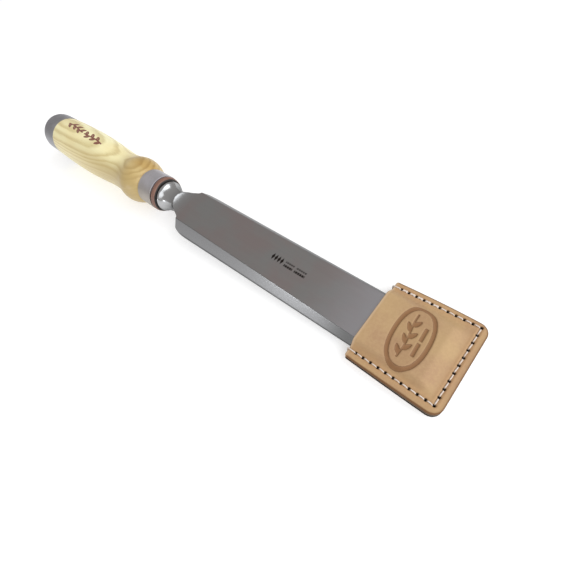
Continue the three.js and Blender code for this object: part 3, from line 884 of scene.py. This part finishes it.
HOLES = stitch_points()
SEAM = np.array(
    [seam_point(RIGHT, -0.03), seam_point(RIGHT, 1), seam_point(LEFT, 1), seam_point(LEFT, -0.03)]
)


def front_rise(x, y):
    """How far the front panel stands above its hem, formed over the blade."""
    full = TOP_AT_ORIGIN - BLADE_TAPER * x + GAP - (hem_top(x) - LEATHER)
    foot = np.where(y < 0, RIGHT["foot"], LEFT["foot"])
    across = 1 - smoothstep((np.abs(y) - CREST_Y) / (foot - CREST_Y), 0, 1)
    return full * across * (1 - smoothstep(x, SLOPE_START_X, SLOPE_END_X))


def hem_top(x):
    """Height of the front panel's outer face along its sewn edge."""
    return HEM_TOP_Z + HEM_SLOPE * (x - MOUTH_X)


def from_edge(distance, radius):
    """How far a rounded edge falls away at a distance in from the outline."""
    inward = np.clip(radius - distance, 0, radius)
    return radius - np.sqrt(radius**2 - inward**2)


EMBLEM_X = 347.9
EMBLEM_Y = 0.4
EMBLEM_SLANT = 0.05
EMBLEM_HALF_X = 10.9
EMBLEM_HALF_Y = 19.2
EMBLEM_BAND = 2.3
EMBLEM_POWER = 2.3  # 2 is an ellipse, more is squarer
STAMPED_TINT = 0.24
SPRIG_SCALE = 1.35
SPRIG_START = -13.4
SPRIG_ASIDE = -1.7
SPRIG_LENGTH = 20.0
BAR_ASIDE = 4.9
BAR_HALF_WIDTH = 1.0
BAR_MIDDLE = 4.8
BAR_HALF_LENGTH = 4.1


def emblem(x, y):
    """How deep a plain stamped ornament is pressed, 0 to 1: a leaf sprig and two bars in a rounded
    frame. The second result is 1 all over the stamped field."""
    long = y - EMBLEM_Y
    wide = x - EMBLEM_X + EMBLEM_SLANT * long
    u, v = wide / EMBLEM_HALF_X, long / EMBLEM_HALF_Y
    reach = (np.abs(u) ** EMBLEM_POWER + np.abs(v) ** EMBLEM_POWER) ** (1 / EMBLEM_POWER)
    slope = np.hypot(u / EMBLEM_HALF_X, v / EMBLEM_HALF_Y) / np.maximum(np.hypot(u, v), 1e-6)
    depth_in = (1 - reach) / np.maximum(slope, 0.02)
    band = EMBLEM_BAND / 2 - np.abs(depth_in - EMBLEM_BAND / 2)
    along, aside = (long - SPRIG_START) / SPRIG_SCALE, (wide - SPRIG_ASIDE) / SPRIG_SCALE
    leaves = SPRIG_SCALE * sprig(along, aside, SPRIG_LENGTH, veined=False)
    bar_width = BAR_HALF_WIDTH - np.abs(wide - BAR_ASIDE)
    bar_length = BAR_HALF_LENGTH - np.abs(np.abs(long) - BAR_MIDDLE)
    inside = np.maximum(np.maximum(band, leaves), np.minimum(bar_width, bar_length))
    return smoothstep(inside, -0.3, 0.4), 1 - smoothstep(reach, 0.95, 1.08)


def grid_points(low, high, step):
    """Points in rows, every second row half a step aside, so that triangles come out even."""
    xs = np.arange(low[0], high[0], step)
    ys = np.arange(low[1], high[1], step)
    return np.array([(x + (0.5 * step if j % 2 else 0), y) for j, y in enumerate(ys) for x in xs])


def triangulated(loops, points):
    """Triangles between closed loops and through loose points: vertices and faces of a flat sheet."""
    vertices, edges = [], []
    for loop in loops:
        first = len(vertices)
        vertices.extend(Vector(p) for p in loop)
        edges.extend((first + i, first + (i + 1) % len(loop)) for i in range(len(loop)))
    vertices.extend(Vector(p) for p in points)
    made = delaunay_2d_cdt(vertices, edges, [], 1, 1e-4, False)
    return np.array([tuple(v) for v in made[0]]), [tuple(f) for f in made[2]]


def within(outline, points):
    """Which points lie inside a closed outline."""
    inside = np.zeros(len(points), bool)
    for (x1, y1), (x2, y2) in zip(outline, np.roll(outline, -1, axis=0)):
        if y1 == y2:
            continue
        crosses = (points[:, 1] > y1) != (points[:, 1] > y2)
        at = x1 + (points[:, 1] - y1) * (x2 - x1) / (y2 - y1)
        inside ^= crosses & (points[:, 0] < at)
    return inside


EDGE_RINGS = (0.03, 0.1, 0.22, 0.38, 0.6)
HOLE_RINGS = (0.35, 0.6, 0.78, 0.95, 1.12)


def panel_sheet(step):
    """A flat sheet of the guard's outline, finer at its edge and round its holes: its points and
    faces, and how far each point lies from the edge and from the seam."""
    outline = guard_outline()
    loops = [outline, *[inset(outline, d) for d in EDGE_RINGS]]
    points = grid_points(outline.min(axis=0), outline.max(axis=0), step)
    points = points[within(inset(outline, EDGE_RINGS[-1] + 0.2), points)]
    to_hole = np.linalg.norm(points[:, None] - HOLES[None], axis=2).min(axis=1)
    points = points[to_hole > HOLE_RINGS[-1] + 0.12]
    turn = np.arange(12) * math.pi / 6
    circles = [HOLES + r * np.array([math.cos(a), math.sin(a)]) for r in HOLE_RINGS for a in turn]
    flat, faces = triangulated(loops, np.concatenate([points, HOLES, *circles]))
    return flat, faces, distance_to(outline, flat), distance_to(SEAM, flat, closed=False)


def leather_piece(node, flat, faces, top, bottom, edge_and_shade_colour, **marks):
    """A closed leather piece from a flat sheet and the heights of its two faces. Each mark is an
    attribute for the material: its values on the upper face and on the lower."""
    count = len(flat)
    flat = np.clip(flat, FRONT_LOW[:2], FRONT_HIGH[:2])
    vertices = np.concatenate([np.column_stack([flat, top]), np.column_stack([flat, bottom])])
    edges = {(a, b) for f in faces for a, b in zip(f, (*f[1:], f[0]))}
    rim = [(a, b) for a, b in sorted(edges) if (b, a) not in edges]
    both = [*faces, *[tuple(count + i for i in reversed(f)) for f in faces]]
    walls = [(a, count + a, count + b, b) for a, b in rim]
    leather = guard_leather(f"{node}_leather", edge_and_shade_colour)
    piece = new_piece(
        f"tip_{node}", vertices, [*both, *walls], leather, "guard", node, slot="guard_leather"
    )
    for name, (upper, lower) in marks.items():
        values = [np.broadcast_to(upper, count), np.broadcast_to(lower, count)]
        add_attribute(piece, name, np.concatenate(values))


def waviness(x, y):
    """The slight waviness of a leather sheet, in millimetres."""
    return 0.09 * np.sin(x / 7.1 + 0.7) * np.sin(y / 8.3 + 1.1) + 0.05 * np.sin(x / 3.9 + y / 4.7)


def hole_depth(points, depth):
    """How deep the awl holes are at each point, and a mask that is 1 in them, for their painted shade.
    """
    away = points[:, None] - HOLES[None]
    nearest = np.linalg.norm(away, axis=2).min(axis=1)
    return depth * (1 - smoothstep(nearest, 0.4, 1.05)), 1 - smoothstep(nearest, 0.7, 1.05)


def groove_shape(to_seam):
    """How deep the sewn groove is at a distance from its middle, 0 to 1."""
    return np.exp(-((to_seam / GROOVE_HALF_WIDTH) ** 2))


def make_guard_front():
    """The formed front panel: rounded edges, sewn groove, awl holes and a stamped ornament."""
    flat, faces, to_edge, to_seam = panel_sheet(0.5)
    x, y = flat.T
    holes, hole_shade = hole_depth(flat, FRONT_HOLE_DEPTH)
    press, field = emblem(x, y)
    level = hem_top(x) + front_rise(x, y) + waviness(x, y) * smoothstep(to_edge, 0.5, 4)
    swell = SEAM_SWELL * np.exp(-(((to_seam - 1.5) / 0.8) ** 2))
    top = level + swell - FRONT_GROOVE * groove_shape(to_seam) - holes - PRESS_DEPTH * press
    top = np.maximum(top - from_edge(to_edge, FRONT_EDGE_RADIUS), level - LEATHER + 0.3)
    bottom = level - LEATHER + from_edge(to_edge, INNER_EDGE_RADIUS)
    # Painted highlight along the rounded mouth edge.
    lip = 1 - smoothstep(x, MOUTH_X + 0.5, MOUTH_X + 1.7)
    edge = (1 - smoothstep(to_edge, 0.25, 1.0)) * (1 - lip)
    press = np.maximum(press, STAMPED_TINT * field)
    hem = 1 - smoothstep(to_seam, 1.2, 4.5)
    # Brown burnished edge colour, darkened as painted shade.
    leather_piece(
        "guard_front", flat, faces, top, bottom, (0.17, 0.085, 0.04),
        edge=(edge, edge), lip=(lip, lip), press=(press, 0), hole=(hole_shade, 0), hem=(hem, hem),
    )


def make_guard_back():
    """The flat back panel, its groove and holes underneath."""
    flat, faces, to_edge, to_seam = panel_sheet(1.0)
    x, y = flat.T
    holes, hole_shade = hole_depth(flat, BACK_HOLE_DEPTH)
    top = BACK_HIGH[2] - from_edge(to_edge, INNER_EDGE_RADIUS)
    cut = BACK_GROOVE * groove_shape(to_seam) + holes
    wave = 0.5 * np.abs(waviness(x, y)) * smoothstep(to_edge, 0.5, 4)
    bottom = BACK_LOW[2] + wave + np.minimum(cut, LEATHER - 0.4) + from_edge(to_edge, BACK_EDGE_RADIUS)
    edge = 1 - smoothstep(to_edge, 0.05, 0.6)
    hem = 1 - smoothstep(to_seam, 1.2, 4.5)
    # The near-black edge colour is painted shade on the panel's downward-facing wall.
    leather_piece(
        "guard_back", flat, faces, top, bottom, (0.014, 0.010, 0.008),
        edge=(edge, edge), hole=(0, hole_shade), hem=(0, hem),
    )


def make_guard_welt():
    """The U-shaped spacer between the panels, open at the mouth round the blade."""
    outline = guard_outline()
    half = HALF_WIDTH + GAP
    floor_x = EDGE_X + GAP
    mouth = (outline[:, 0] < MOUTH_X + 0.01) & (np.abs(outline[:, 1]) < half + 0.3)
    rim = outline[~mouth]
    pocket = [(MOUTH_X, half), (floor_x, half), (floor_x, -half), (MOUTH_X, -half)]
    loop = np.concatenate([rim, pocket])
    points = grid_points(outline.min(axis=0), outline.max(axis=0), 1.0)
    points = np.concatenate([points, *[inset(outline, d) for d in EDGE_RINGS]])
    points = points[within(loop, points)]
    points = points[distance_to(loop, points) > 0.02]
    flat, faces = triangulated([loop], points)
    to_edge = distance_to(outline, flat)
    thickness = WELT_AT_MOUTH + HEM_SLOPE * (flat[:, 0] - MOUTH_X)
    worn = from_edge(to_edge, WELT_EDGE_RADIUS)
    top = WELT_LOW[2] + thickness - worn
    bottom = WELT_LOW[2] + worn
    edge = 1 - smoothstep(to_edge, 0.4, 1.5)
    # The edge colour is burnish and painted shade.
    leather_piece(
        "guard_welt", flat, faces, top, bottom, (0.12, 0.09, 0.065), edge=(edge, edge)
    )


PLY_RADIUS = 0.22
PLY_OFFSET = 0.2
PLY_PITCH = 2.3
PLY_SIDES = 8
THREAD_RADIUS = PLY_RADIUS + PLY_OFFSET
STITCH_INSET = 0.7  # from a hole's middle to where the thread comes out of it
NEVER_ALONG_THREAD = (0.13, 0.21, 0.97)  # a direction that no strand runs in


def square_to(path):
    """Two directions square to a path at each of its points."""
    ahead = unit(np.gradient(path, axis=0))
    side = unit(np.cross(ahead, NEVER_ALONG_THREAD))
    return side, np.cross(side, ahead)


def tube(path, radius):
    """Vertices and faces of a round tube along a path."""
    side, up = square_to(path)
    angles = np.arange(PLY_SIDES) * 2 * math.pi / PLY_SIDES
    around = side[:, None] * np.cos(angles)[None, :, None] + up[:, None] * np.sin(angles)[None, :, None]
    vertices = (path[:, None] + radius * around).reshape(-1, 3)
    return vertices, ring_faces(len(path), PLY_SIDES)


def twisted(path, phase):
    """Three plies laid round each other along a path."""
    length = np.concatenate([[0], np.cumsum(np.linalg.norm(np.diff(path, axis=0), axis=1))])
    count = max(6, int(length[-1] / 0.16))
    even = np.linspace(0, length[-1], count)
    middle = np.column_stack([np.interp(even, length, path[:, k]) for k in range(3)])
    side, up = square_to(middle)
    plies = []
    for k in range(3):
        turn = phase + 2 * math.pi * (even / PLY_PITCH + k / 3)
        offset = side * np.cos(turn)[:, None] + up * np.sin(turn)[:, None]
        plies.append(tube(middle + PLY_OFFSET * offset, PLY_RADIUS))
    return plies


def stitch_path(start, end, face, slant, lift):
    """One stitch between two holes: up out of one, along the groove and down the next. The second
    result is how far down a hole each point is."""
    run = end - start
    length = np.linalg.norm(run)
    ahead = run / length
    aside = np.array([-ahead[1], ahead[0]])
    s = np.linspace(STITCH_INSET, length - STITCH_INSET, 30)
    plan = start + s[:, None] * ahead + (slant * np.cos(math.pi * s / length))[:, None] * aside
    from_end = np.minimum(s, length - s)
    dive = 1.5 * (1 - smoothstep(from_end, 0.65, 1.3))
    arch = lift + 0.1 * np.sin(math.pi * s / length)
    x, y = plan.T
    if face == "front":
        z = hem_top(x) + front_rise(x, y) - FRONT_GROOVE + 0.4 + arch - dive
    else:
        z = BACK_LOW[2] + BACK_GROOVE - THREAD_RADIUS - 0.5 * arch + 0.5 * dive
    return np.column_stack([plan, z]), dive


def mouth_wrap(side):
    """The thread from the first front hole round the mouth's edge to the first hole behind."""
    hole_x, hole_y = seam_point(side, 1 / STITCHES_ALONG)
    mouth_y = side["seam"][0]
    wrap_x = MOUTH_X - GAP - THREAD_RADIUS
    top_z = HEM_TOP_Z - FRONT_GROOVE + THREAD_RADIUS
    low_z = BACK_LOW[2] + BACK_GROOVE - 0.45
    down = ((THREAD_RADIUS, -1.3), (0.9, -0.1), (1.6, 0.1))
    points = [(hole_x - back, hole_y, top_z + rise) for back, rise in down]
    points += [(MOUTH_X + x, mouth_y, top_z + rise) for x, rise in ((1.2, 0.05), (0.2, -0.1))]
    points += [(wrap_x, mouth_y, z) for z in (top_z - 0.8, (top_z + low_z) / 2, low_z + 0.8)]
    points += [(MOUTH_X + x, mouth_y, low_z + rise) for x, rise in ((0.3, 0.05), (1.4, 0.0))]
    points += [(hole_x - 0.9, hole_y, low_z), (hole_x - THREAD_RADIUS, hole_y, low_z + 0.8)]
    return smooth_through(points, 0.2)


DOUBLED_STITCHES = 5


def make_thread():
    """Saddle stitching on both faces, doubled where it was started on the left side."""
    strands = []
    stitches = len(HOLES) - 1
    for i in range(stitches):
        slant = 0.1 + 0.05 * math.sin(2.3 * i)
        doubled = i >= stitches - DOUBLED_STITCHES
        for face in ("front", "back"):
            lays = ((0.5, 0.0), (-0.45, 0.12)) if doubled and face == "front" else ((slant, 0.0),)
            strands.extend(stitch_path(HOLES[i], HOLES[i + 1], face, *lay) for lay in lays)
    for side in (RIGHT, LEFT):
        path = mouth_wrap(side)
        strands.append((path, np.zeros(len(path))))
    vertices, faces, sunk, first = [], [], [], 0
    for k, (path, dive) in enumerate(strands):
        for ply, quads in twisted(path, 1.7 * k):
            vertices.append(ply)
            faces.extend(tuple(first + i for i in f) for f in quads)
            where = np.linspace(0, len(dive) - 1, len(ply) // PLY_SIDES)
            sunk.append(np.repeat(np.interp(where, np.arange(len(dive)), dive), PLY_SIDES))
            first += len(ply)
    piece = new_piece(
        "waxed_stitching", np.concatenate(vertices), faces, waxed_thread(), "guard",
        "stitching_thread", slot="waxed_thread",
    )
    add_attribute(piece, "sunk", np.concatenate(sunk))


make_guard_front()
make_guard_back()
make_guard_welt()
make_thread()


# ---- floor and light
FLOOR_GAP = 0.05
FLOOR_REACH = 5000.0
LAMP_TARGET = Vector((0.2, 0.0, 0.0))
LAMP_COLOUR = (0.94, 0.97, 1.0)


def make_floor():
    """A pale light table that the chisel lies on, at the guard's end and the belly of the handle.
    Past the guard's end it is level with the guard's underside, so the guard slides off along it."""
    level = BACK_LOW[2] - FLOOR_GAP
    handle = outer_profile("handle", TANG_BORE_RADIUS)
    lean = max((r + BACK_LOW[2]) / (GUARD_END_X - x) for x, r in handle)
    low = level - lean * (GUARD_END_X + FLOOR_REACH)
    vertices = []
    for y in (-FLOOR_REACH, FLOOR_REACH):
        vertices += [(-FLOOR_REACH, y, low), (GUARD_END_X, y, level), (FLOOR_REACH, y, level)]
    mesh = bpy.data.meshes.new("floor")
    mesh.from_pydata((np.array(vertices) * MM).tolist(), [], [(0, 1, 4, 3), (1, 2, 5, 4)])
    floor = add_object("floor", mesh)
    look = Look("pale_paper")
    fleck = look.noise(0.02, 3, 0.5)
    look.colour = look.blend(fleck, (0.62, 0.62, 0.62), (0.64, 0.64, 0.64))
    paper = look.finished(Roughness=0.9, Emission_Color=(1.0, 1.0, 1.0), Emission_Strength=0.5)
    mesh.materials.append(paper)


def add_softbox(name, azimuth, elevation, distance, width, height, power):
    """A soft light facing the middle of the chisel: degrees, metres and watts."""
    data = bpy.data.lights.new(name, "AREA")
    data.shape = "RECTANGLE"
    data.size = width
    data.size_y = height
    data.energy = power
    data.color = LAMP_COLOUR
    lamp = add_object(name, data)
    turn, rise = math.radians(azimuth), math.radians(elevation)
    level = math.cos(rise)
    away = Vector((level * math.cos(turn), level * math.sin(turn), math.sin(rise)))
    lamp.location = LAMP_TARGET + distance * away
    lamp.rotation_euler = away.to_track_quat("Z", "Y").to_euler()


def make_light():
    """An even pale room, a large soft light on either side and a small low one, whose reflection
    lies along the near bevelled side of the blade."""
    world = bpy.data.worlds.new("studio")
    world.use_nodes = True
    room = world.node_tree.nodes["Background"]
    room.inputs["Color"].default_value = (1.0, 0.965, 0.94, 1)
    room.inputs["Strength"].default_value = 0.5
    bpy.context.scene.world = world
    bpy.context.scene.view_settings.view_transform = "Standard"
    add_softbox("far_box", 24, 42, 1.7, 2.2, 1.6, 28)
    add_softbox("near_box", -48, 40, 1.7, 1.6, 1.2, 9)
    add_softbox("edge_card", -108.5, 3.2, 1.47, 0.24, 0.16, 1.9)


make_floor()
make_light()
